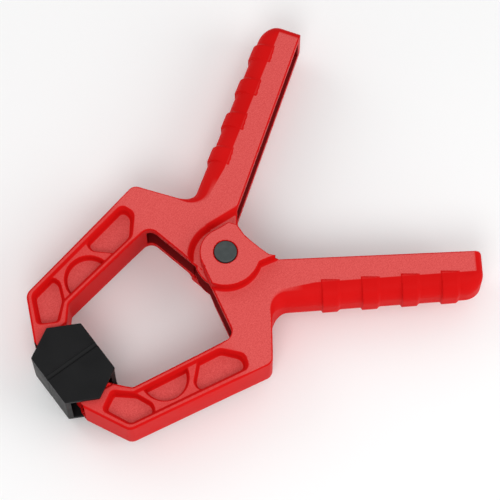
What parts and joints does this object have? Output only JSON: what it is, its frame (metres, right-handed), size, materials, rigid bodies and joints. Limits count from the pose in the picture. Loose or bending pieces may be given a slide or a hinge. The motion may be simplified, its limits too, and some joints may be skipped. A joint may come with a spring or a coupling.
{
  "type": "spring clamp",
  "caption": "Hand spring clamp with C-shaped moulded levers on a central pin, ribbed squeeze handles, a torsion spring and swivelling jaw pads, lying on its side.",
  "frame": {"origin": "on the pivot's axis, at the back face of the hub, which the clamp rests on", "axes": "+X along the clamp's middle line from the jaws to the handles, +Y from the middle line towards the upper lever, +Z along the pivot from the back face to the pin's head"},
  "size_m": [0.2041, 0.1688, 0.0375],
  "materials": {
    "lever": "moulded, fine grain on the flat faces",
    "pad": "satin, moulded",
    "pin": "dark oxide",
    "sleeve": "smooth",
    "spring": "drawn wire, lightly oiled"
  },
  "bodies": {
    "upper_half": {"upper_lever": "lever", "pivot_pin": "pin", "pin_retainer": "pin", "spring_sleeve": "sleeve", "torsion_spring": "spring"},
    "lower_half": {"lower_lever": "lever"},
    "upper_swivel": {"upper_pad": "pad"},
    "lower_swivel": {"lower_pad": "pad"}
  },
  "joints": [
    {"name": "jaw_hinge", "type": "hinge", "parent": "upper_half", "child": "lower_half", "pos_m": [0, 0, 0.0185], "axis": [0, 0, 1], "range_deg": [0, 50], "stiffness_Nm_per_rad": 4.5, "springref_deg": -40.11, "deforming": ["torsion_spring"]},
    {"name": "upper_pad_swivel", "type": "hinge", "parent": "upper_half", "child": "upper_swivel", "pos_m": [-0.09, 0.0115, 0.0185], "axis": [0, 0, 1], "range_deg": [0, 25]},
    {"name": "lower_pad_swivel", "type": "hinge", "parent": "lower_half", "child": "lower_swivel", "pos_m": [-0.09, -0.0115, 0.0185], "axis": [0, 0, 1], "range_deg": [-25, 0]}
  ],
  "couplings": [
    {"joint": "upper_pad_swivel", "follows": "jaw_hinge", "ratio": 0.5},
    {"joint": "lower_pad_swivel", "follows": "jaw_hinge", "ratio": -0.5}
  ]
}
